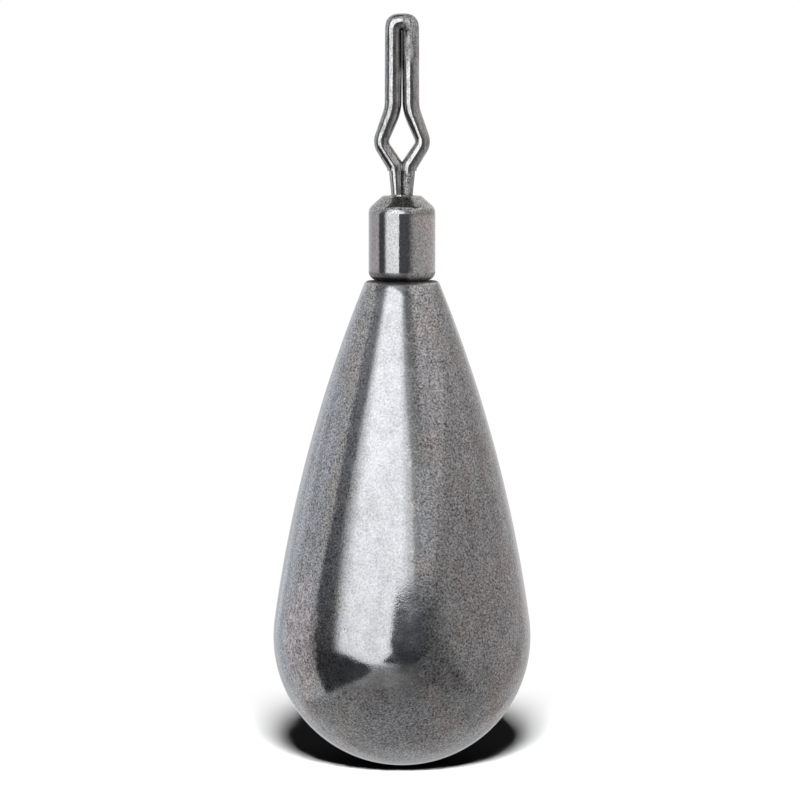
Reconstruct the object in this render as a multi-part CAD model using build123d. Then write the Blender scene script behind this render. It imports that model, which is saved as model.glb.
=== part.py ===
from build123d import *
from math import acos, atan, atan2, cos, degrees, radians, sin, sqrt, tan
import os

# A teardrop sinker that hangs from a pinch clip on a barrel swivel. Sizes are millimetres, and +Z is up
# along the swivel's axis. The origin is the middle of the line eye, which opens along Y.

# Clip: one round wire bent to a hairpin and a diamond eye, with both ends joined in a stem
wire_diameter = 0.62
clip_rise = 4.82  # eye middle to the top of the hairpin
slot_top_gap = 0.01  # the pinch slot narrows towards its closed top
slot_mouth_gap = 0.05
eye_width = 1.00  # inside the wire, before the eye's corners are rounded, as are the next two
eye_rise = 1.16  # eye middle up to the slot's mouth
eye_drop = 0.74  # eye middle down to the eye's lower corner
eye_corner_radius = 0.17  # inside of the bend at the eye's widest place
arm_corner_radius = 1.40  # inside of the bend where the legs open into the eye
foot_corner_radius = 0.03  # inside of the bend where the eye closes
foot_spacing = 0.50  # between the middles of the two wires below the eye

# Stem: the two wire ends pressed against each other, then swaged into one round rod
press_lead = 0.06  # straight wire between the eye and the pressed length
press_top_width = 0.51  # of each wire end, side to side
press_foot_width = 0.42
press_depth = 0.60
press_fusion = 0.024  # width over which the two wire ends are one
swage_draw = 0.935  # diameter left by the swaging dies, as a share of a rod of the same wire
stem_land = 0.04  # round stem above the barrel's mouth

# Swivel barrel: hollow, with a coned mouth and a rounded heel
neck_drop = 2.03  # eye middle down to the barrel's mouth
barrel_diameter = 2.52
barrel_length = 3.18
barrel_wall = 0.35
mouth_rim = 0.27  # flat ring around the stem
mouth_cone_angle = 48.0  # from the axis
rim_radius = 0.10
cone_radius = 0.40
heel_radius = 0.32

# Heads inside the barrel, on the clip's stem and on the anchor pin
head_side_clearance = 0.18
clip_head_rim = 0.35
pin_head_height = 0.40
running_clearance = 0.05  # radial, at the stem and at the pin's neck
end_play = 0.05

# Anchor pin, glued into the weight
neck_diameter = 0.90
shank_length = 3.40
groove_count = 4
groove_pitch = 0.70
groove_width = 0.30
groove_depth = 0.10
first_groove_drop = 0.75  # weight's crown down to the first groove
glue_gap = 0.20
glue_bed = 0.30  # glue under the shank's end
glue_recess = 0.05  # glue's top below the crown

# Weight: a ball drawn up into a long flank
seat_gap = 0.03  # barrel's heel to the weight's crown
body_diameter = 9.79
body_length = 18.46
flank_radius = 52.8
crown_diameter = 2.76
crown_edge_radius = 0.20

# Levels along the axis
mouth_z = -neck_drop
heel_z = mouth_z - barrel_length
floor_z = heel_z + barrel_wall
land_z = mouth_z + stem_land
crown_z = heel_z - seat_gap
bottom_z = crown_z - body_length

# Radii that several pieces share
wire_radius = wire_diameter / 2
stem_radius = wire_radius * sqrt(2) * swage_draw
neck_radius = neck_diameter / 2
barrel_radius = barrel_diameter / 2
cavity_radius = barrel_radius - barrel_wall
head_radius = cavity_radius - head_side_clearance
mouth_bore_radius = stem_radius + running_clearance
mouth_radius = mouth_bore_radius + mouth_rim
foot_bore_radius = neck_radius + running_clearance
bore_radius = neck_radius + glue_gap
cone_slope = 1 / tan(radians(mouth_cone_angle))

# Eye: the leans of its arms, and the levels where its wires turn straight down and where they are pressed
half_eye = eye_width / 2
upper_lean = atan((half_eye - slot_mouth_gap / 2) / eye_rise)
lower_lean = atan(half_eye / eye_drop)
upper_reach = half_eye + wire_radius / cos(upper_lean)
lower_reach = half_eye + wire_radius / cos(lower_lean)
foot_x = foot_spacing / 2
foot_corner_z = (foot_x - lower_reach) / tan(lower_lean)
press_z = foot_corner_z - (foot_corner_radius + wire_radius) * tan(lower_lean / 2) - press_lead


def outer_cone_z(radius):
    """Height of the barrel's outer cone at a radius."""
    return mouth_z - (radius - mouth_radius) * cone_slope


def inner_cone_z(radius):
    """Height of the barrel's inner cone at a radius, one wall inside the outer cone."""
    return outer_cone_z(radius) - barrel_wall / sin(radians(mouth_cone_angle))


def clip_head_z(radius):
    """Height of the clip head's coned top, which bears under the inner cone."""
    return inner_cone_z(radius) - end_play


def turned(outline):
    """Solid of revolution about the swivel's axis from a closed outline of (radius, height)."""
    return revolve(Plane.XZ * make_face(outline), Axis.Z)


def make_half_wire():
    """Right half of the clip's wire, from the top of the hairpin down to its pressed end."""
    leg_x = wire_radius + slot_mouth_gap / 2
    leg_end = Vector(leg_x, (upper_reach - leg_x) / tan(upper_lean))
    eye_z = (upper_reach - lower_reach) / (tan(upper_lean) + tan(lower_lean))
    eye_corner = Vector(upper_reach - eye_z * tan(upper_lean), eye_z)
    foot_corner = Vector(foot_x, foot_corner_z)
    wire_end = Vector(foot_x, press_z)

    bend_radius = wire_radius + slot_top_gap / 2
    bend_center = Vector(0, clip_rise - wire_radius - bend_radius)
    to_leg = leg_end - bend_center
    leg_angle = atan2(to_leg.Y, to_leg.X) + acos(bend_radius / to_leg.length)
    leg_top = bend_center + Vector(cos(leg_angle), sin(leg_angle)) * bend_radius

    hairpin = CenterArc(bend_center, bend_radius, 90, degrees(leg_angle) - 90)
    inside_radii = (arm_corner_radius, eye_corner_radius, foot_corner_radius)
    leg_and_eye = FilletPolyline(
        leg_top,
        leg_end,
        eye_corner,
        foot_corner,
        wire_end,
        radius=[radius + wire_radius for radius in inside_radii],
    )
    path = Plane.XZ * (hairpin + leg_and_eye)
    section = Plane(origin=path @ 0, z_dir=path % 0) * Circle(wire_radius)
    return split(sweep(section, path=path), Plane.YZ, keep=Keep.TOP)


def make_pressed_end():
    """Right wire end below the eye, pressed flat against the other and narrowing towards the barrel."""
    sections = []
    for z, width in ((land_z, press_foot_width), (press_z, press_top_width)):
        sections.append(Pos((width - press_fusion) / 2, 0, z) * Ellipse(width / 2, press_depth / 2))
    return loft(sections, ruled=True)


def make_stem():
    """Round rod swaged from both wire ends, with its head upset inside the barrel."""
    head_rim_z = clip_head_z(head_radius)
    outline = Polyline(
        (0, land_z),
        (stem_radius, land_z),
        (stem_radius, clip_head_z(stem_radius)),
        (head_radius, head_rim_z),
        (head_radius, head_rim_z - clip_head_rim),
        (0, head_rim_z - clip_head_rim),
        close=True,
    )
    return turned(outline)


def make_line_clip():
    halves = [make_half_wire(), make_pressed_end()]
    return make_stem() + halves + [mirror(half, Plane.YZ) for half in halves]


def make_swivel_barrel():
    """Hollow barrel, its mouth closed around the stem and its foot around the pin's neck."""
    corners = {
        (mouth_bore_radius, mouth_z): 0,
        (mouth_radius, mouth_z): rim_radius,
        (barrel_radius, outer_cone_z(barrel_radius)): cone_radius,
        (barrel_radius, heel_z): heel_radius,
        (foot_bore_radius, heel_z): 0,
        (foot_bore_radius, floor_z): 0,
        (cavity_radius, floor_z): 0,
        (cavity_radius, inner_cone_z(cavity_radius)): 0,
        (mouth_bore_radius, inner_cone_z(mouth_bore_radius)): 0,
    }
    return turned(FilletPolyline(*corners.keys(), radius=corners.values(), close=True))


def make_anchor_pin():
    """Headed pin whose grooved shank keys into the glue."""
    head_z = floor_z + end_play
    shank_end_z = crown_z - shank_length
    outline = [(0, head_z + pin_head_height), (head_radius, head_z + pin_head_height)]
    outline += [(head_radius, head_z), (neck_radius, head_z)]
    for index in range(groove_count):
        groove_z = crown_z - first_groove_drop - index * groove_pitch
        outline.append((neck_radius, groove_z + groove_width / 2))
        outline.append((neck_radius - groove_depth, groove_z))
        outline.append((neck_radius, groove_z - groove_width / 2))
    outline += [(neck_radius, shank_end_z), (0, shank_end_z)]
    return turned(Polyline(*outline, close=True))


def make_bore(top_z):
    """Blind bore in the weight's crown, up to a level."""
    depth = top_z - crown_z + shank_length + glue_bed
    return Pos(0, 0, top_z) * Cylinder(bore_radius, depth, align=(Align.CENTER, Align.CENTER, Align.MAX))


def make_bond_epoxy(anchor_pin):
    """Cured glue that fills the bore around and under the pin's shank."""
    return make_bore(crown_z - glue_recess) - anchor_pin


def make_weight_body():
    """Ball whose upper side runs smoothly into a long flank that ends at the crown."""
    ball_radius = body_diameter / 2
    ball_center = Vector(0, bottom_z + ball_radius)
    crown_edge = Vector(crown_diameter / 2, crown_z)

    # The flank's centre is flank_radius from the crown's edge, and the flank touches the ball from outside
    chord = crown_edge - ball_center
    ball_reach = flank_radius - ball_radius
    along = (ball_reach**2 - flank_radius**2 + chord.length**2) / (2 * chord.length)
    across = sqrt(ball_reach**2 - along**2)
    forward = chord.normalized()
    flank_center = ball_center + forward * along + Vector(-forward.Y, forward.X) * across

    to_ball = ball_center - flank_center
    to_crown = crown_edge - flank_center
    ball_end = degrees(atan2(to_ball.Y, to_ball.X))
    flank_end = degrees(atan2(to_crown.Y, to_crown.X))
    outline = [
        CenterArc(ball_center, ball_radius, -90, 90 + ball_end),
        CenterArc(flank_center, flank_radius, ball_end, flank_end - ball_end),
        Polyline(crown_edge, (0, crown_z), (0, bottom_z)),
    ]
    teardrop = turned(outline)
    crown_rim = teardrop.edges().filter_by(GeomType.CIRCLE).sort_by(Axis.Z)[-1]
    return fillet(crown_rim, crown_edge_radius) - make_bore(crown_z)


anchor_pin = make_anchor_pin()
nodes = {
    "line_clip": make_line_clip(),
    "swivel_barrel": make_swivel_barrel(),
    "anchor_pin": anchor_pin,
    "bond_epoxy": make_bond_epoxy(anchor_pin),
    "weight_body": make_weight_body(),
}

os.makedirs("parts", exist_ok=True)
for name, piece in nodes.items():
    export_step(piece, f"parts/{name}.step")
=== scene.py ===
from math import atan, cos, pi, radians, sin, tan

import bmesh
import bpy
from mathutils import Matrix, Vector


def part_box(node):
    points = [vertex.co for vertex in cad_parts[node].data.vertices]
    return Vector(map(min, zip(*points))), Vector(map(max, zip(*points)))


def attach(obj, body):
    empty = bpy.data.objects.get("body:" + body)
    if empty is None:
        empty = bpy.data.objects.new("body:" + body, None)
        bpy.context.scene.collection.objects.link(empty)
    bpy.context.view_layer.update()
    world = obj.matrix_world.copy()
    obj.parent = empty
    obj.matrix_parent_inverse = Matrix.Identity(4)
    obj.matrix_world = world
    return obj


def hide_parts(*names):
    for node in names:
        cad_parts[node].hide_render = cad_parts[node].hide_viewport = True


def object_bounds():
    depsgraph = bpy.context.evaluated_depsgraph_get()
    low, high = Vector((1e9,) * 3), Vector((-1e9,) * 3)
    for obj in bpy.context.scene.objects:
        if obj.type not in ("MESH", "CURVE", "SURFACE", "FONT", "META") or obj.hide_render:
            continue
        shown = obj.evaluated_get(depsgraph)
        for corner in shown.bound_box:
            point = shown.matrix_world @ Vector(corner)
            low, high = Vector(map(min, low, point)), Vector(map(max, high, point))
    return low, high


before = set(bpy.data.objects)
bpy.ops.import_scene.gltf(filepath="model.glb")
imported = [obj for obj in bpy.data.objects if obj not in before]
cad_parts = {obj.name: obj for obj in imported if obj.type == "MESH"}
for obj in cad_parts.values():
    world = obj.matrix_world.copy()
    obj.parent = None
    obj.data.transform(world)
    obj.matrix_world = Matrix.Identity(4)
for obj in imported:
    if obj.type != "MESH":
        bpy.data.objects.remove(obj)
cad_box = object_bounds()

# Weight: a teardrop pressed from tungsten powder, sintered, and tumbled to a burnished but grainy skin.
# A ball runs smoothly up into a long flank, and a blind bore in its flat crown takes the glued pin.

MM = 0.001  # metres in a millimetre
weight_low, weight_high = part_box("weight_body")
weight_sizes = {
    "Ball Radius": 4.895 * MM,
    "Flank Radius": 52.8 * MM,
    "Crown Radius": 1.38 * MM,
    "Crown Rounding": 0.20 * MM,
    "Bore Radius": 0.65 * MM,
    "Bore Depth": 3.70 * MM,
    "Bottom": weight_low.z,
    "Crown": weight_high.z,
    "Lump Height": 0.006 * MM,
    "Lump Width": 1.3 * MM,
}
weight_segments = 256
weight_rings = {"ball": 96, "flank": 128, "crown edge": 8, "crown": 4, "bore": 6, "bore floor": 3}
weight_seed = 3.7  # offset into the noise that makes the lumps


class Socket:
    """One output of a node tree. Arithmetic on it adds Math nodes, and node() adds any other node."""

    def __init__(self, tree, output=None):
        self.tree = tree
        self.output = output

    def node(self, kind, settings=None, inputs=None, output=0):
        made = self.tree.nodes.new(kind)
        for name, value in (settings or {}).items():
            setattr(made, name, value)
        for name, value in (inputs or {}).items():
            for item in value if isinstance(value, list) else [value]:
                if isinstance(item, Socket):
                    self.tree.links.new(item.output, made.inputs[name])
                else:
                    made.inputs[name].default_value = item
        return Socket(self.tree, made.outputs[output])

    def math(self, operation, *values):
        return self.node("ShaderNodeMath", {"operation": operation}, dict(enumerate(values)))

    def feed(self, target):
        self.tree.links.new(self.output, target)

    def __add__(self, other):
        return self.math("ADD", self, other)

    def __radd__(self, other):
        return self.math("ADD", other, self)

    def __sub__(self, other):
        return self.math("SUBTRACT", self, other)

    def __rsub__(self, other):
        return self.math("SUBTRACT", other, self)

    def __mul__(self, other):
        return self.math("MULTIPLY", self, other)

    def __rmul__(self, other):
        return self.math("MULTIPLY", other, self)

    def __truediv__(self, other):
        return self.math("DIVIDE", self, other)

    def __rtruediv__(self, other):
        return self.math("DIVIDE", other, self)

    def __pow__(self, other):
        return self.math("POWER", self, other)


def sine(angle):
    return angle.math("SINE", angle) if isinstance(angle, Socket) else sin(angle)


def cosine(angle):
    return angle.math("COSINE", angle) if isinstance(angle, Socket) else cos(angle)


def tangent(angle):
    return angle.math("TANGENT", angle) if isinstance(angle, Socket) else tan(angle)


def root(value):
    return value.math("SQRT", value)


def heading(rise, run):
    return rise.math("ARCTAN2", rise, run)


def axes_of(vector):
    """The X, Y and Z of a vector."""
    split = vector.node("ShaderNodeSeparateXYZ", inputs={0: vector})
    return [Socket(vector.tree, output) for output in split.output.node.outputs]


def new_growth(name, sizes):
    """An empty geometry tree with one input for each size, and the sockets that give them."""
    tree = bpy.data.node_groups.new(name, "GeometryNodeTree")
    tree.interface.new_socket("Geometry", in_out="OUTPUT", socket_type="NodeSocketGeometry")
    tree.interface.new_socket("Geometry", in_out="INPUT", socket_type="NodeSocketGeometry")
    for size in sizes:
        tree.interface.new_socket(size, in_out="INPUT", socket_type="NodeSocketFloat")
    given = tree.nodes.new("NodeGroupInput")
    return Socket(tree), {name: Socket(tree, given.outputs[name]) for name in ["Geometry", *sizes]}


def placed(mesh, x, y, z):
    """Geometry whose points are moved to new places."""
    spot = mesh.node("ShaderNodeCombineXYZ", inputs={"X": x, "Y": y, "Z": z})
    return mesh.node("GeometryNodeSetPosition", inputs={"Geometry": mesh, "Position": spot})


def turned(start, radius_at, height_at, rings, segments):
    """Surface turned about the axis. Radius and height are rules of the way along the outline, 0 to 1."""
    counts = {"Size X": 1.0, "Size Y": 1.0, "Vertices X": segments + 1, "Vertices Y": rings + 1}
    grid = start.node("GeometryNodeMeshGrid", inputs=counts)
    across, along = axes_of(start.node("GeometryNodeInputPosition"))[:2]
    turn = 2 * pi * (across + 0.5)
    way = along + 0.5
    radius = radius_at(way)
    return placed(grid, radius * cosine(turn), radius * sine(turn), height_at(way))


def turned_arc(start, center, radius, first, last, rings, segments):
    """Surface turned from an arc about a centre, between two headings from that centre."""
    return turned(
        start,
        lambda way: center[0] + radius * cosine(first + (last - first) * way),
        lambda way: center[1] + radius * sine(first + (last - first) * way),
        rings,
        segments,
    )


def turned_line(start, first, last, rings, segments):
    """Surface turned from a straight run between two points of (radius, height)."""
    return turned(
        start,
        lambda way: first[0] + (last[0] - first[0]) * way,
        lambda way: first[1] + (last[1] - first[1]) * way,
        rings,
        segments,
    )


def welded(stretches):
    """One closed skin from stretches that share their edges."""
    weld_distance = 1e-7
    joined = stretches[0].node("GeometryNodeJoinGeometry", inputs={"Geometry": stretches[::-1]})
    merge = {"Geometry": joined, "Distance": weld_distance}
    return joined.node("GeometryNodeMergeByDistance", inputs=merge)


def noise(place, size, detail=2.0):
    """Noise with lumps of about one size, in the units of the place that it reads."""
    return place.node("ShaderNodeTexNoise", inputs={"Vector": place, "Scale": 1 / size, "Detail": detail})


def grown(name, shape, sizes, finish, sharp_angle, seed_mesh=None):
    """End a geometry tree, run it with the sizes and keep what it gives as a plain mesh."""
    whole = shape.node("GeometryNodeRealizeInstances", inputs={"Geometry": shape})
    faced = shape.node("GeometryNodeSetMaterial", inputs={"Geometry": whole, "Material": finish})
    tree = shape.tree
    faced.feed(tree.nodes.new("NodeGroupOutput").inputs["Geometry"])

    piece = bpy.data.objects.new(name, seed_mesh or bpy.data.meshes.new(name))
    bpy.context.scene.collection.objects.link(piece)
    growth = piece.modifiers.new("growth", "NODES")
    growth.node_group = tree
    for item in tree.interface.items_tree:
        if item.in_out == "INPUT" and item.name in sizes:
            growth[item.identifier] = sizes[item.name]
    evaluated = piece.evaluated_get(bpy.context.evaluated_depsgraph_get())
    mesh = bpy.data.meshes.new_from_object(evaluated)
    piece.modifiers.remove(growth)
    piece.data = mesh
    mesh.shade_smooth()
    mesh.set_sharp_from_angle(angle=radians(sharp_angle))
    return piece


def new_finish(name):
    """A material, its shader, and Object coordinates in millimetres to lay its patterns on."""
    finish = bpy.data.materials.new(name)
    finish.use_nodes = True
    start = Socket(finish.node_tree)
    place = start.node("ShaderNodeTexCoord", output="Object")
    place_mm = start.node("ShaderNodeVectorMath", {"operation": "SCALE"}, {0: place, "Scale": 1 / MM})
    return finish, finish.node_tree.nodes["Principled BSDF"], place_mm


def fade(value, low, high):
    """0 below the low value, 1 above the high one, and a smooth step between them."""
    steps = {"Value": value, "From Min": low, "From Max": high}
    return value.node("ShaderNodeMapRange", {"interpolation_type": "SMOOTHSTEP"}, steps)


def blend(share, first, second):
    """Colour that goes from the first to the second as the share goes from 0 to 1."""
    return share.node("ShaderNodeMix", {"data_type": "RGBA"}, {0: share, 6: first, 7: second}, output=2)


def shaded(colour, strength):
    """Colour made lighter or darker by a factor."""
    return strength.node("ShaderNodeVectorMath", {"operation": "SCALE"}, {0: colour, "Scale": strength})


def bumped(height, depth, under=None):
    """Normal of a surface roughened by a height from 0 to 1, whose full depth is in metres."""
    inputs = {"Height": height, "Distance": depth}
    if under:
        inputs["Normal"] = under
    return height.node("ShaderNodeBump", inputs=inputs)


def stretched(place, x, y, z):
    """Place that is scaled along each axis, so that patterns laid on it are drawn out."""
    return place.node("ShaderNodeVectorMath", {"operation": "MULTIPLY"}, {0: place, 1: (x, y, z)})


def mottle(place, size):
    """Uneven tone about 0, of lumps and of finer grain within them."""
    return noise(place, size, detail=3.0) - 0.5


def glints(place, size):
    """Sparse specks: 1 in a speck and 0 between them."""
    return fade(noise(place, size, detail=0.0), 0.66, 0.76)


def make_sintered_tungsten():
    """Grainy grey alloy, stained faintly brown, rubbed down its front, with a scuff, painted shade on the
    crown's top and a painted dark reflection just under the crown's front.
    """
    grey = (0.250, 0.250, 0.257, 1.0)
    brown = (0.266, 0.247, 0.240, 1.0)
    scuffed = (0.274, 0.248, 0.246, 1.0)
    scuff_place = (-3.86, -2.92, -18.4)
    scuff_reach = (1.1, 1.1, 2.3)
    finish, shader, place = new_finish("sintered_tungsten")
    grain = mottle(place, 0.07)
    cloud = mottle(place, 0.45)
    stain = noise(place, 1.6, detail=5.0)
    ripple = noise(place, 0.07, detail=1.0)
    flecks = fade(noise(stretched(place, 1.0, 1.0, 0.5), 0.14, detail=3.0), 0.44, 0.66)
    x, y, z = axes_of(place)
    side = heading(x, -1 * y) + 0.4 * cloud
    drop = weight_high.z / MM - z
    # Painted shade: the crown's flat top, where the barrel stands on it, is made darker in colour.
    painted_shade = fade(drop, 0.06, 0.01)
    rim = fade(drop - 0.4 * cloud, 0.40, 0.10)
    # Painted reflection: a dark arch across the front, just under the crown, is made darker in colour.
    from_reflection_arch = (3.0 * (side + 0.25)) ** 2
    painted_reflection_arch = fade(drop - 0.24 * from_reflection_arch - 0.4 * cloud, 0.20, 0.08) * fade(from_reflection_arch, 2.2, 1.5)
    rubbed = fade(side, -0.62, -0.46) * fade(side, 0.20, 0.06) * fade(z + cloud, -20.6, -19.8)
    away = place.node("ShaderNodeVectorMath", {"operation": "SUBTRACT"}, {0: place, 1: scuff_place})
    away = place.node("ShaderNodeVectorMath", {"operation": "DIVIDE"}, {0: away, 1: scuff_reach})
    distance = place.node("ShaderNodeVectorMath", {"operation": "LENGTH"}, {0: away}, output="Value")
    scuff = fade(distance + 1.2 * noise(place, 0.7, detail=3.0), 1.65, 1.45)

    handled = fade(side, 0.20, 0.70) * fade(z, -13.0, -17.0)
    browned = fade(stain + 0.06 * handled, 0.46, 0.68) * (1 - 0.75 * rubbed)
    colour = blend(scuff, blend(browned, grey, brown), scuffed)
    tone = 1.13 + (3.8 - 2.6 * rubbed) * grain + 0.5 * cloud - 0.25 * stain
    tone = tone + 0.45 * (1 - rubbed) * glints(place, 0.055) + scuff * (0.55 * flecks - 0.04)
    tone = tone * (1 - 0.6 * painted_shade) * (1 + 0.12 * rim) * (1 - 0.55 * painted_reflection_arch)
    shaded(colour, tone).feed(shader.inputs["Base Color"])
    roughness = 0.115 + 0.16 * cloud + 0.14 * scuff + 0.4 * painted_shade + 0.14 * rim + 0.1 * painted_reflection_arch
    roughness.feed(shader.inputs["Roughness"])
    bumped(ripple, 0.0012 * MM).feed(shader.inputs["Normal"])
    shader.inputs["Metallic"].default_value = 1.0
    return finish


def grow_weight(start, size):
    """Skin of the weight: ball, flank, rounded crown edge, crown and bore, each turned from its line."""
    ball_center_z = size["Bottom"] + size["Ball Radius"]
    chord_z = size["Crown"] - ball_center_z
    chord = root(size["Crown Radius"] ** 2 + chord_z**2)
    reach = size["Flank Radius"] - size["Ball Radius"]
    along = (reach**2 - size["Flank Radius"] ** 2 + chord**2) / (2 * chord)
    across = root(reach**2 - along**2)
    flank_center_r = (size["Crown Radius"] * along - chord_z * across) / chord
    flank_rise = (chord_z * along + size["Crown Radius"] * across) / chord
    flank_center = (flank_center_r, ball_center_z + flank_rise)
    flank_start = heading(-1 * flank_rise, -1 * flank_center_r)

    edge_z = size["Crown"] - size["Crown Rounding"]
    edge_rise = edge_z - flank_center[1]
    edge_run = root((size["Flank Radius"] - size["Crown Rounding"]) ** 2 - edge_rise**2)
    edge_center = (flank_center_r + edge_run, edge_z)
    flank_end = heading(edge_rise, edge_run)

    bore, bore_floor = size["Bore Radius"], size["Crown"] - size["Bore Depth"]
    ball_radius, rounding = size["Ball Radius"], size["Crown Rounding"]
    rings, count = weight_rings, weight_segments
    flank = (flank_center, size["Flank Radius"], flank_start, flank_end)
    skin = welded([
        turned_arc(start, (0, ball_center_z), ball_radius, -pi / 2, flank_start, rings["ball"], count),
        turned_arc(start, *flank, rings["flank"], count),
        turned_arc(start, edge_center, rounding, flank_end, pi / 2, rings["crown edge"], count),
        turned_line(start, (edge_center[0], size["Crown"]), (bore, size["Crown"]), rings["crown"], count),
        turned_line(start, (bore, size["Crown"]), (bore, bore_floor), rings["bore"], count),
        turned_line(start, (bore, bore_floor), (0, bore_floor), rings["bore floor"], count),
    ])

    shift = {0: start.node("GeometryNodeInputPosition"), 1: (weight_seed * MM,) * 3}
    place = start.node("ShaderNodeVectorMath", {"operation": "ADD"}, shift)
    spread = {"Vector": place, "Scale": 1 / size["Lump Width"], "Detail": 1.0}
    height = size["Lump Height"] * (start.node("ShaderNodeTexNoise", inputs=spread) - 0.5)
    lump = {0: start.node("GeometryNodeInputNormal"), "Scale": height}
    offset = start.node("ShaderNodeVectorMath", {"operation": "SCALE"}, lump)
    return start.node("GeometryNodeSetPosition", inputs={"Geometry": skin, "Offset": offset})


weight_shape = grow_weight(*new_growth("teardrop_weight", weight_sizes))
weight = grown("teardrop", weight_shape, weight_sizes, make_sintered_tungsten(), sharp_angle=40)
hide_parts("weight_body")
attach(weight, "weight")

# Glue: two-part epoxy that was poured into the bore and has set around the pin's grooved shank.
# It is clear amber with a few trapped bubbles, and it stays hidden between the pin and the weight.


def dress(node, finish):
    """Give a CAD node a finish in place of its plain one."""
    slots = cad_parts[node].data.materials
    slots.clear()
    slots.append(finish)


def make_set_epoxy():
    """Amber resin, paler around its bubbles."""
    amber = (0.50, 0.36, 0.16, 1.0)
    pale = (0.66, 0.54, 0.33, 1.0)
    finish, shader, place = new_finish("set_epoxy")
    bubble = noise(place, 0.15, detail=1.0)
    blend(fade(bubble, 0.55, 0.70), amber, pale).feed(shader.inputs["Base Color"])
    roughness = 0.18 + 0.20 * bubble
    roughness.feed(shader.inputs["Roughness"])
    return finish


dress("bond_epoxy", make_set_epoxy())

# Anchor pin: cold-headed from steel wire, with a round head that is caught inside the barrel.
# Rolled grooves on its shank key it into the glue, and its neck is the spindle that the barrel turns on.


def make_headed_steel():
    """Bright steel with fine drawing lines along the shank."""
    bright = (0.46, 0.46, 0.45, 1.0)
    dull = (0.36, 0.35, 0.34, 1.0)
    finish, shader, place = new_finish("headed_steel")
    line = noise(stretched(place, 1.0, 1.0, 0.06), 0.05)
    blend(fade(line, 0.35, 0.65), bright, dull).feed(shader.inputs["Base Color"])
    roughness = 0.22 + 0.15 * line
    roughness.feed(shader.inputs["Roughness"])
    shader.inputs["Metallic"].default_value = 1.0
    return finish


dress("anchor_pin", make_headed_steel())

# Swivel barrel: a short turned tube, nickel-plated, with its mouth coned in around the clip's stem.
# Its rounded heel is closed around the pin's neck, so the clip and the weight both turn in it.

barrel_low, barrel_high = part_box("swivel_barrel")
barrel_sizes = {
    "Barrel Radius": 1.26 * MM,
    "Wall": 0.35 * MM,
    "Mouth Radius": 0.73 * MM,
    "Mouth Bore": 0.46 * MM,
    "Foot Bore": 0.50 * MM,
    "Cone Angle": radians(48),
    "Rim Rounding": 0.10 * MM,
    "Cone Rounding": 0.40 * MM,
    "Heel Rounding": 0.32 * MM,
    "Mouth": barrel_high.z,
    "Heel": barrel_low.z,
}
barrel_segments = 160
barrel_rings = 10  # on each straight run and each rounded corner


def turned_outline(start, corners, rings, segments):
    """Skin turned from straight runs with rounded corners, with the metal on the left of the line.

    A corner is (radius, height, rounding, heading): the heading is that of the run after the corner, and a
    rounding of None leaves the corner sharp.
    """
    stretches = []
    begin = corners[0][:2]
    last_heading = corners[0][3]
    for radius, height, rounding, next_heading in corners[1:]:
        corner = (radius, height)
        if rounding is None:
            stretches.append(turned_line(start, begin, corner, rings, segments))
            begin = corner
        else:
            cut = rounding * tangent((next_heading - last_heading) / 2)
            runs = [(cosine(way), sine(way)) for way in (last_heading, next_heading)]
            arc_start = (radius - cut * runs[0][0], height - cut * runs[0][1])
            arc_end = (radius + cut * runs[1][0], height + cut * runs[1][1])
            center = (arc_start[0] - rounding * runs[0][1], arc_start[1] + rounding * runs[0][0])
            stretches.append(turned_line(start, begin, arc_start, rings, segments))
            sides = (last_heading - pi / 2, next_heading - pi / 2)
            stretches.append(turned_arc(start, center, rounding, *sides, rings, segments))
            begin = arc_end
        last_heading = next_heading
    return welded(stretches)


def grow_barrel(start, size):
    """Skin of the barrel, from the foot bore out around the heel, up over the cone and down the inside."""
    outward, upward, inward, downward = 0.0, pi / 2, pi, 3 * pi / 2
    coned_in = upward + size["Cone Angle"]
    coned_out = downward + size["Cone Angle"]
    slope = 1 / tangent(size["Cone Angle"])
    cavity = size["Barrel Radius"] - size["Wall"]
    floor = size["Heel"] + size["Wall"]
    shoulder = size["Mouth"] - (size["Barrel Radius"] - size["Mouth Radius"]) * slope
    inner_mouth = size["Mouth"] - size["Wall"] / sine(size["Cone Angle"])
    inner_mouth_z = inner_mouth - (size["Mouth Bore"] - size["Mouth Radius"]) * slope
    inner_shoulder_z = inner_mouth - (cavity - size["Mouth Radius"]) * slope
    corners = [
        (size["Foot Bore"], size["Heel"], None, outward),
        (size["Barrel Radius"], size["Heel"], size["Heel Rounding"], upward),
        (size["Barrel Radius"], shoulder, size["Cone Rounding"], coned_in),
        (size["Mouth Radius"], size["Mouth"], size["Rim Rounding"], inward),
        (size["Mouth Bore"], size["Mouth"], None, downward),
        (size["Mouth Bore"], inner_mouth_z, None, coned_out),
        (cavity, inner_shoulder_z, None, downward),
        (cavity, floor, None, inward),
        (size["Foot Bore"], floor, None, downward),
        (size["Foot Bore"], size["Heel"], None, outward),
    ]
    return turned_outline(start, corners, barrel_rings, barrel_segments)


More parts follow.
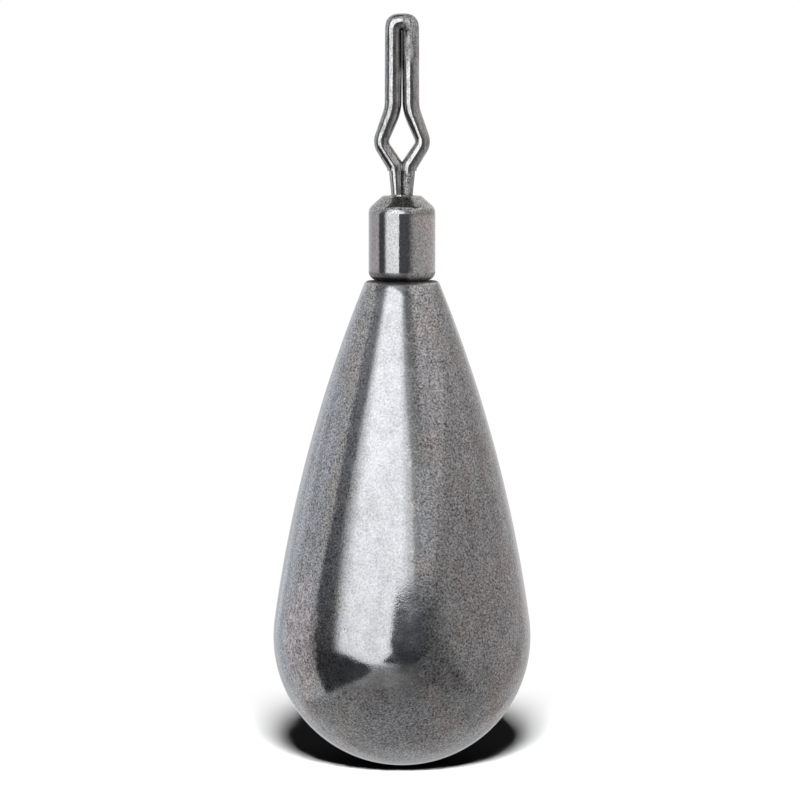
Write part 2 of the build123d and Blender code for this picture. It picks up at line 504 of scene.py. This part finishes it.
def make_nickel_plate():
    """Dark nickel with faint lathe rings and a dull cone, rubbed thin and tarnished on its right side, where
    its lighter tone is also painted light, and with painted shade at its heel.
    """
    nickel = (0.258, 0.254, 0.256, 1.0)
    tarnish = (0.272, 0.250, 0.242, 1.0)
    cone_grey = (0.270, 0.266, 0.264, 1.0)
    finish, shader, place = new_finish("nickel_plate")
    rings = noise(stretched(place, 0.05, 0.05, 1.0), 0.05)
    grain = mottle(place, 0.07)
    patch = noise(place, 0.5, detail=4.0)
    ripple = noise(place, 0.10, detail=2.0)
    x, y, z = axes_of(place)
    cone = fade(z + 0.3 * (patch - 0.5), -2.70, -2.50)
    # Painted shade: the bottom of the heel, down against the weight's crown, is made darker in colour.
    heel = fade(z + 0.1 * (patch - 0.5), -4.85, -4.93)
    # The right side is made lighter in colour: partly wear where the plating is rubbed thin, and partly
    # painted light on that side.
    wear_and_painted_light = fade(x + 0.5 * (patch - 0.5), 0.16, 0.36) * fade(z, -2.6, -2.85)
    stained = x.math("MAXIMUM", wear_and_painted_light * fade(patch, 0.42, 0.62), fade(x, -0.70, -0.95))
    colour = blend(cone, blend(stained, nickel, tarnish), cone_grey)
    tone = 1 + 1.4 * grain + wear_and_painted_light * (0.62 + 2.2 * grain) + 2.6 * cone * grain - 0.3 * heel
    shaded(colour, tone).feed(shader.inputs["Base Color"])
    roughness = 0.07 + 0.03 * rings + 0.12 * wear_and_painted_light + 0.10 * cone + 0.35 * heel
    roughness.feed(shader.inputs["Roughness"])
    normal = bumped(ripple, 0.0022 * MM, under=bumped(rings, 0.0002 * MM))
    normal.feed(shader.inputs["Normal"])
    shader.inputs["Metallic"].default_value = 1.0
    return finish


barrel_shape = grow_barrel(*new_growth("swivel_barrel_turning", barrel_sizes))
barrel = grown("barrel", barrel_shape, barrel_sizes, make_nickel_plate(), sharp_angle=35)
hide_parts("swivel_barrel")
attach(barrel, "barrel")

# Line clip: one round spring-steel wire bent to a hairpin, whose legs pinch the line above a diamond eye.
# Below the eye both ends are pressed against each other, and then swaged into one round stem that passes
# the barrel's mouth and is upset to a head inside it.

clip_low, clip_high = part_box("line_clip")
wire_radius = 0.31 * MM
slot_mouth_gap = 0.05 * MM
slot_shut_gap = 0.003 * MM  # where the legs all but touch, from the next height up to the hairpin
slot_shut_z = 2.9 * MM
eye_width = 1.00 * MM  # inside the wire, before the corners are rounded, as are the next two
eye_rise = 1.16 * MM
eye_drop = 0.74 * MM
foot_x = 0.25 * MM  # of the wire's middle line below the eye
arm_bend = 1.71 * MM  # radius of the wire's middle line, as are the next two
eye_bend = 0.48 * MM
foot_bend = 0.34 * MM
press_lead = 0.06 * MM
eye_thickness = 0.93  # of the bent and pressed wire, as a share of its diameter, as are the next three
mouth_thickness = 1.03
shut_thickness = 1.04
hairpin_thickness = 1.03
eye_inset = 0.025 * MM  # of the wire's middle line, where it is drawn thinner
hairpin_x = wire_radius * hairpin_thickness + slot_shut_gap / 2
hairpin_z = clip_high.z - wire_radius * hairpin_thickness
clip_sizes = {
    "Wire Radius": wire_radius,
    "Hairpin Middle": hairpin_z - hairpin_x,
    "Shoulder Bulge": 0.09,
    "Press Top Width": 0.51 * MM,
    "Press Foot Width": 0.42 * MM,
    "Press Depth": 0.60 * MM,
    "Press Fusion": 0.024 * MM,
    "Stem Radius": 0.41 * MM,
    "Land": barrel_high.z + 0.04 * MM,
    "Head Radius": 0.73 * MM,
    "Head Rim": 0.35 * MM,
    "Head Foot": clip_low.z,
}
wire_segments = 48
bend_steps = 20
press_steps = 8
stem_rings = 4
press_overlap = 0.05  # how far a pressed end runs on into the wire and the stem, as a share of its length
sliver = 3e-4 * MM  # edges shorter than this are dissolved where the clip's parts are made one


def wire_route():
    """The wire's middle line, from one end over the hairpin to the other: x, z, bend and thickness."""
    half_eye = eye_width / 2
    upper_lean = atan((half_eye - slot_mouth_gap / 2) / eye_rise)
    lower_lean = atan(half_eye / eye_drop)
    upper_reach = half_eye + wire_radius / cos(upper_lean)
    lower_reach = half_eye + wire_radius / cos(lower_lean)
    eye_z = (upper_reach - lower_reach) / (tan(upper_lean) + tan(lower_lean))
    eye_x = upper_reach - eye_z * tan(upper_lean)
    leg_x = wire_radius + slot_mouth_gap / 2
    leg_z = (upper_reach - leg_x) / tan(upper_lean)
    shut_x = wire_radius * shut_thickness + slot_shut_gap / 2
    foot_z = (foot_x - lower_reach) / tan(lower_lean)
    end_z = foot_z - foot_bend * tan(lower_lean / 2) - press_lead
    half = [
        (foot_x, end_z, 0.0, 1.0),
        (foot_x, foot_z, foot_bend, 1.0),
        (eye_x - eye_inset, eye_z, eye_bend, eye_thickness),
        (leg_x, leg_z, arm_bend, mouth_thickness),
        (shut_x, slot_shut_z, arm_bend, shut_thickness),
        (hairpin_x, hairpin_z, hairpin_x, hairpin_thickness),
    ]
    return [(-x, z, bend, thickness) for x, z, bend, thickness in half] + half[::-1]


def route_mesh(route):
    """A chain of edges along a route, with each corner's bend radius and thickness as attributes."""
    mesh = bpy.data.meshes.new("clip_route")
    edges = [(index, index + 1) for index in range(len(route) - 1)]
    mesh.from_pydata([(x, 0.0, z) for x, z, bend, thickness in route], edges, [])
    bends = mesh.attributes.new("bend", "FLOAT", "POINT")
    bends.data.foreach_set("value", [bend for x, z, bend, thickness in route])
    thicknesses = mesh.attributes.new("thickness", "FLOAT", "POINT")
    thicknesses.data.foreach_set("value", [thickness for x, z, bend, thickness in route])
    return mesh


def bent_wire(start, size):
    """Round wire along the route, with the shoulders of its hairpin bulged where it was pressed shut."""
    route = start.node("GeometryNodeMeshToCurve", inputs={"Mesh": size["Geometry"]})
    bend = start.node("GeometryNodeInputNamedAttribute", {"data_type": "FLOAT"}, {"Name": "bend"})
    bends = {"Curve": route, "Radius": bend, "Count": bend_steps, "Limit Radius": True}
    bent = start.node("GeometryNodeFilletCurve", {"mode": "POLY"}, bends)
    thickness = start.node("GeometryNodeInputNamedAttribute", {"data_type": "FLOAT"}, {"Name": "thickness"})
    round_section = {"Resolution": wire_segments, "Radius": size["Wire Radius"]}
    section = start.node("GeometryNodeCurvePrimitiveCircle", inputs=round_section)
    sweep = {"Curve": bent, "Profile Curve": section, "Scale": thickness, "Fill Caps": True}
    wire = start.node("GeometryNodeCurveToMesh", inputs=sweep)

    x, y, z = axes_of(start.node("GeometryNodeInputPosition"))
    rise = start.math("MAXIMUM", z - size["Hairpin Middle"], 0)
    slant = 2 * x * rise / (x**2 + rise**2 + 1e-12)  # 1 on the shoulders, 0 on the legs and the top
    bulge = size["Shoulder Bulge"] * slant**2
    return placed(wire, x * (1 + bulge), y, z + rise * bulge)


def pressed_end(start, size, wire_end_z, side):
    """A wire end below the eye, pressed flat against the other and narrowing towards the barrel."""
    unit = {"Vertices": 2 * wire_segments, "Side Segments": press_steps, "Radius": 1.0, "Depth": 1.0}
    rod = start.node("GeometryNodeMeshCylinder", inputs=unit)
    x, y, z = axes_of(start.node("GeometryNodeInputPosition"))
    share = (z + 0.5) * (1 + 2 * press_overlap) - press_overlap
    foot, top = size["Press Foot Width"], size["Press Top Width"]
    width = foot + (top - foot) * share
    middle = side * (width - size["Press Fusion"]) / 2
    height = size["Land"] + (wire_end_z - size["Land"]) * share
    return placed(rod, middle + x * width / 2, y * size["Press Depth"] / 2, height)


def grow_clip(start, size, wire_end_z):
    """Bent wire, its two pressed ends and its turned stem with the head, made one."""
    rim = size["Head Foot"] + size["Head Rim"]
    outline = [
        (0, size["Head Foot"]),
        (size["Head Radius"], size["Head Foot"]),
        (size["Head Radius"], rim),
        (size["Stem Radius"], rim + (size["Head Radius"] - size["Stem Radius"])),
        (size["Stem Radius"], size["Land"]),
        (0, size["Land"]),
    ]
    runs = zip(outline, outline[1:])
    stem = welded([turned_line(start, *run, stem_rings, 2 * wire_segments) for run in runs])
    ends = [pressed_end(start, size, wire_end_z, side) for side in (1, -1)]
    exact = {"operation": "UNION", "solver": "EXACT"}
    solids = {"Mesh 2": [bent_wire(start, size), stem, *ends], "Self Intersection": True}
    return start.node("GeometryNodeMeshBoolean", exact, solids)


def trim_slivers(mesh):
    """Cut a union into triangles, and dissolve the ones of almost no size along its seams."""
    work = bmesh.new()
    work.from_mesh(mesh)
    bmesh.ops.triangulate(work, faces=work.faces)
    bmesh.ops.dissolve_degenerate(work, dist=sliver, edges=work.edges)
    work.to_mesh(mesh)
    work.free()


def make_drawn_wire():
    """Dark drawn steel, with painted light on its right and painted shade on its left, in its slot and
    inside its hairpin bend, and grainy where dies gripped its top and swaged its stem.
    """
    steel = (0.310, 0.305, 0.305, 1.0)
    film = (0.272, 0.264, 0.259, 1.0)
    finish, shader, place = new_finish("drawn_wire")
    grain = mottle(place, 0.06) + mottle(stretched(place, 1.0, 1.0, 0.15), 0.06)
    patch = noise(place, 0.6, detail=3.0)
    ripple = noise(place, 0.11, detail=2.0)
    x, y, z = axes_of(place)
    ragged = z + 0.5 * (patch - 0.5)
    right = fade(x, 0.02, 0.08)
    from_bend = root(x**2 + (z - clip_sizes["Hairpin Middle"] / MM) ** 2)
    # Painted shade: inside the hairpin's bend, around the top of the slot, the wire is made darker in
    # colour; there it is also duller.
    pinched_and_shaded = fade(from_bend + 0.3 * (patch - 0.5), 0.42, 0.20)
    gripped = right * fade(ragged, 2.7, 3.4)
    swaged = right * fade(ragged, -1.1, -1.2)
    dull = gripped + swaged
    colour = blend(fade(patch, 0.42, 0.62), steel, film)
    # Painted shade: the legs' faces along the slot are made darker in colour.
    in_slot = fade(x, -0.18, -0.08) * fade(x, 0.08, 0.03)
    painted_shade = in_slot * fade(ragged, 2.5, 3.1) * fade(ragged, 4.25, 4.05)
    # Painted light and shade: the wire is made lighter in colour on its right side and darker on its left.
    sides = 0.20 * fade(x, 0.35, 0.55) - 0.18 * fade(x, -0.42, -0.58)
    tone = 1 + 1.7 * grain + dull * (grain - 0.08) - 0.3 * pinched_and_shaded + sides
    shaded(colour, tone * (1 - 0.75 * painted_shade)).feed(shader.inputs["Base Color"])
    roughness = 0.075 + 0.48 * dull + 0.12 * pinched_and_shaded + 0.15 * painted_shade
    roughness.feed(shader.inputs["Roughness"])
    bumped(ripple, 0.0007 * MM).feed(shader.inputs["Normal"])
    shader.inputs["Metallic"].default_value = 1.0
    return finish


clip_route = wire_route()
clip_shape = grow_clip(*new_growth("bent_wire_clip", clip_sizes), clip_route[0][1])
clip_finish = make_drawn_wire()
clip = grown("clip", clip_shape, clip_sizes, clip_finish, sharp_angle=35, seed_mesh=route_mesh(clip_route))
trim_slivers(clip.data)
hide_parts("line_clip")
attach(clip, "clip")

# Floor: a pale matte sheet that the sinker stands on, which keeps its shadow and fades to white around it.
# Metal does not mirror it: low cards of the studio show there in its place.

floor_radius = 0.6
shadow_radius = 10 * MM  # the floor is itself inside this radius
white_radius = 19 * MM  # and plain white outside this one
floor_z = cad_box[0].z


def direct_share(start):
    """1 for what the camera sees straight or in a mirror, and 0 for light that reaches a matte surface."""
    depth = start.node("ShaderNodeLightPath", output="Diffuse Depth")
    return depth.math("LESS_THAN", depth, 0.5)


def white_share(start):
    """1 for the rays that show a plain white background: camera, glossy and transmitted ones."""
    rays = start.node("ShaderNodeLightPath", output="Is Camera Ray")
    paths = rays.output.node.outputs
    seen = rays.math("MAXIMUM", rays, Socket(start.tree, paths["Is Glossy Ray"]))
    seen = rays.math("MAXIMUM", seen, Socket(start.tree, paths["Is Transmission Ray"]))
    return seen * direct_share(start)


def make_pale_sheet():
    """Matte white near the object, and plain white for what looks at it from further off."""
    finish, shader, place = new_finish("pale_sheet")
    start = Socket(finish.node_tree)
    level = stretched(place, 1.0, 1.0, 0.0)
    distance = start.node("ShaderNodeVectorMath", {"operation": "LENGTH"}, {0: level}, output="Value")
    share = white_share(start) * fade(distance, shadow_radius / MM, white_radius / MM)
    shader.inputs["Base Color"].default_value = (0.9, 0.9, 0.9, 1.0)
    shader.inputs["Roughness"].default_value = 1.0
    shader.inputs["Specular IOR Level"].default_value = 0.0
    lit = Socket(finish.node_tree, shader.outputs["BSDF"])
    white = start.node("ShaderNodeEmission", inputs={"Strength": 1.0})
    mixed = start.node("ShaderNodeMixShader", inputs={0: share, 1: lit, 2: white})
    mixed.feed(finish.node_tree.nodes["Material Output"].inputs["Surface"])
    return finish


floor_mesh = bpy.data.meshes.new("floor")
floor_turns = [(-1, -1), (1, -1), (1, 1), (-1, 1)]
floor_corners = [(x * floor_radius, y * floor_radius, floor_z) for x, y in floor_turns]
floor_mesh.from_pydata(floor_corners, [], [(0, 1, 2, 3)])
floor_mesh.materials.append(make_pale_sheet())
floor = bpy.data.objects.new("floor", floor_mesh)
bpy.context.scene.collection.objects.link(floor)
floor.visible_glossy = False

# Studio: a white room with a tall softbox in front on the left, dark flags around it, and grey cards on the
# other sides. The cards show in the metal only, so that no view has them in its way. One small lamp in front
# lights the floor and throws the shadow.

studio_center = Vector((0.0, 0.0, -12 * MM))
neutral = (1.0, 1.0, 1.0, 1.0)
cool = (0.960, 0.982, 1.0, 1.0)
cold = (0.900, 0.940, 1.0, 1.0)
warm = (1.0, 0.972, 0.965, 1.0)


def studio_card(name, distance, tint, corners, clutter=0.0, middle=None):
    """A card seen from the object at corners of (azimuth, elevation, brightness), in degrees from the front.

    Clutter breaks its light up as things in a room do. A card with a middle is dense there and thins out to
    nothing at its corners, as a flag that is out of focus.
    """
    finish = bpy.data.materials.new(name)
    finish.use_nodes = True
    start = Socket(finish.node_tree)
    strength = start.node("ShaderNodeAttribute", {"attribute_name": "brightness"}, output="Fac")
    place = start.node("ShaderNodeTexCoord", output="Object")
    uneven = 1 + clutter * (noise(place, 0.06, detail=3.0) - 0.5)
    seen = strength * uneven * direct_share(start)
    glow = start.node("ShaderNodeEmission", inputs={"Color": tint, "Strength": seen})
    count = len(corners)
    faces = [range(count)]
    if middle:
        cover = start.node("ShaderNodeAttribute", {"attribute_name": "cover"}, output="Fac")
        clear = start.node("ShaderNodeBsdfTransparent")
        glow = start.node("ShaderNodeMixShader", inputs={0: fade(cover, 0.0, 0.6), 1: clear, 2: glow})
        faces = [(index, (index + 1) % count, count) for index in range(count)]
        corners = [*corners, middle]
    glow.feed(finish.node_tree.nodes["Material Output"].inputs["Surface"])
    places = []
    for azimuth, elevation, brightness in corners:
        turn, lift = radians(azimuth), radians(elevation)
        way = Vector((sin(turn) * cos(lift), -cos(turn) * cos(lift), sin(lift)))
        places.append(studio_center + way * distance)
    mesh = bpy.data.meshes.new(name)
    mesh.from_pydata(places, [], faces)
    levels = mesh.attributes.new("brightness", "FLOAT", "POINT")
    levels.data.foreach_set("value", [brightness for azimuth, elevation, brightness in corners])
    covers = mesh.attributes.new("cover", "FLOAT", "POINT")
    covers.data.foreach_set("value", [float(index == count) for index in range(len(corners))])
    mesh.materials.append(finish)
    card = bpy.data.objects.new(name, mesh)
    bpy.context.scene.collection.objects.link(card)
    card.visible_camera = False
    card.visible_diffuse = False
    card.visible_shadow = False


studio_card("softbox", 0.34, cool, [
    (-53, -8, 2.3), (-34, -16, 2.4), (-14, -19, 2.8), (-2, -19, 2.9), (-2, 22, 3.3), (-4, 33, 3.2),
    (-8, 48, 3.0), (-38, 48, 3.0), (-44, 40, 3.2), (-44, 24, 3.3), (-48, 12, 2.9), (-54, 4, 2.6),
])
studio_card("softbox_right_wing", 0.34, cool, [
    (-2, -19, 2.9), (11, -19, 2.0), (11.5, 22, 2.1), (5, 33, 2.0), (0, 48, 1.9), (-8, 48, 3.0),
    (-4, 33, 3.2), (-2, 22, 3.3),
])
studio_card("softbox_low_wing", 0.34, cool, [
    (-53, -9, 2.3), (-54, 4, 2.6), (-48, 12, 2.9), (-65, 12, 0.35), (-66, 4, 0.25), (-62, -9, 0.2),
])
studio_card("softbox_high_wing", 0.34, cool, [
    (-48, 12, 2.9), (-44, 24, 3.3), (-44, 40, 3.2), (-38, 48, 3.0), (-60, 48, 0.7), (-58, 24, 0.5),
    (-65, 12, 0.35),
])
studio_card("front_flag", 0.16, cold, [
    (-9.5, -9, 0.13), (-18, -17, 0.16), (2, -19, 0.14), (14, -16, 0.12), (20, -10, 0.12), (21, 0, 0.15),
    (22, 9.5, 0.26), (12, 9.5, 0.24), (2, 9.3, 0.32), (-5, 8.7, 0.34), (-8.5, 6.6, 0.28),
    (-10.5, 1.7, 0.18),
])
studio_card("front_flag_wing", 0.16, neutral, [
    (20, -10, 0.12), (34, -8, 0.36), (42, 0, 0.44), (40, 7.4, 0.48), (22, 9.5, 0.26), (21, 0, 0.15),
])
studio_card("front_shade", 0.20, neutral, [
    (-16, -16, 0.30), (-12, -32, 0.34), (22, -40, 0.38), (44, -32, 0.38), (50, -8, 0.36), (44, 5, 0.36),
    (26, 9, 0.34), (0, 9, 0.30),
], middle=(10, -12, 0.20))
studio_card("skirt_card", 0.26, neutral, [
    (-48, -15, 1.1), (-48, -44, 0.44), (0, -48, 0.34), (30, -48, 0.25), (30, -18, 0.25), (-4, -19, 0.28),
    (-14, -18, 0.80),
], clutter=0.8)
studio_card("side_flag", 0.22, cold, [
    (-86, -15, 0.10), (-62, -10, 0.14), (-66, 4, 0.22), (-65, 12, 0.32), (-58, 24, 0.50), (-60, 44, 0.75),
    (-94, 44, 0.95), (-78, 24, 0.55), (-79, 12, 0.34), (-86, 4, 0.22),
])
studio_card("foot_flag", 0.21, cold, [
    (-86, -13, 0.10), (-58, -9, 0.12), (-44, -14, 0.12), (-30, -19, 0.14), (-28, -24, 0.16),
    (-36, -29.5, 0.15), (-58, -35, 0.10), (-86, -39, 0.10),
])
studio_card("edge_flag", 0.24, cool, [
    (15, 12, 0.95), (27, 12, 1.0), (30, 28, 1.0), (29, 38, 0.6), (29, 50, 0.25), (4, 50, 0.25),
    (12, 33, 0.62), (14, 24, 0.95),
])
studio_card("top_flag", 0.20, neutral, [(-85, 50, 0.10), (75, 50, 0.10), (130, 66, 0.10), (-130, 66, 0.10)])
studio_card("right_low_card", 0.40, warm, [
    (24, -44, 0.22), (70, -44, 0.26), (110, -44, 0.42), (150, -44, 0.65), (172, -44, 0.8),
    (172, 8, 1.05), (150, 8, 1.05), (110, 8, 0.62), (70, 8, 0.54), (24, 8, 0.40),
], clutter=0.8)
studio_card("right_high_card", 0.40, warm, [
    (24, 8, 1.0), (60, 8, 0.72), (110, 8, 0.74), (150, 8, 0.95),
    (150, 26, 1.1), (110, 26, 1.1), (60, 26, 1.0), (24, 26, 1.0),
], clutter=0.8)
studio_card("right_top_card", 0.40, warm, [
    (29, 26, 1.05), (60, 26, 1.1), (110, 26, 1.1), (150, 26, 1.1),
    (150, 48, 1.2), (110, 48, 1.3), (60, 48, 1.3), (30, 48, 1.15),
], clutter=0.8)
studio_card("left_card", 0.40, cold, [
    (-92, -22, 0.95), (-130, -24, 1.0), (-165, -26, 0.95), (-165, 14, 1.2), (-130, 14, 1.4),
    (-92, 14, 1.15),
], clutter=0.8)
studio_card("back_card", 0.38, cool, [
    (150, -48, 0.6), (180, -48, 0.6), (-150, -48, 0.7), (-158, 12, 0.9), (180, 12, 0.55), (158, 12, 0.7),
])
studio_card("low_card", 0.30, neutral, [
    (-45, -30, 0.46), (45, -30, 0.36), (135, -30, 0.72), (-135, -30, 0.84),
], clutter=0.8)

lamp = bpy.data.lights.new("front_lamp", "AREA")
lamp.energy = 0.29
lamp.size = 0.02
front_lamp = bpy.data.objects.new("front_lamp", lamp)
front_lamp.location = (0.0, -0.082, 0.039)
front_lamp.rotation_euler = (studio_center - front_lamp.location).to_track_quat("-Z", "Y").to_euler()
front_lamp.visible_camera = False
front_lamp.visible_glossy = False
bpy.context.scene.collection.objects.link(front_lamp)

room_light = 0.01  # of the white room on matte surfaces
world = bpy.data.worlds.new("white_room")
world.use_nodes = True
strength = room_light + (1 - room_light) * white_share(Socket(world.node_tree))
background = world.node_tree.nodes["Background"]
background.inputs["Color"].default_value = (1.0, 1.0, 1.0, 1.0)
strength.feed(background.inputs["Strength"])
bpy.context.scene.world = world
bpy.context.scene.view_settings.view_transform = "Standard"

# Camera: level with the clip and straight in front, with a long lens, and turned down a little to the
# middle of the sinker.

frame_width = 30.2 * MM  # what the picture spans at the object
camera_distance = 150 * MM
camera_z = 4.0 * MM
aim = Vector((-0.075 * MM, 0.0, -9.77 * MM))

camera_data = bpy.data.cameras.new("camera")
camera_data.sensor_width = 36.0
camera_data.lens = camera_data.sensor_width * camera_distance / frame_width
camera_data.clip_start = 10 * MM
camera = bpy.data.objects.new("camera", camera_data)
camera.location = (aim.x, -camera_distance, camera_z)
camera.rotation_euler = (aim - camera.location).to_track_quat("-Z", "Y").to_euler()
bpy.context.scene.collection.objects.link(camera)
bpy.context.scene.camera = camera
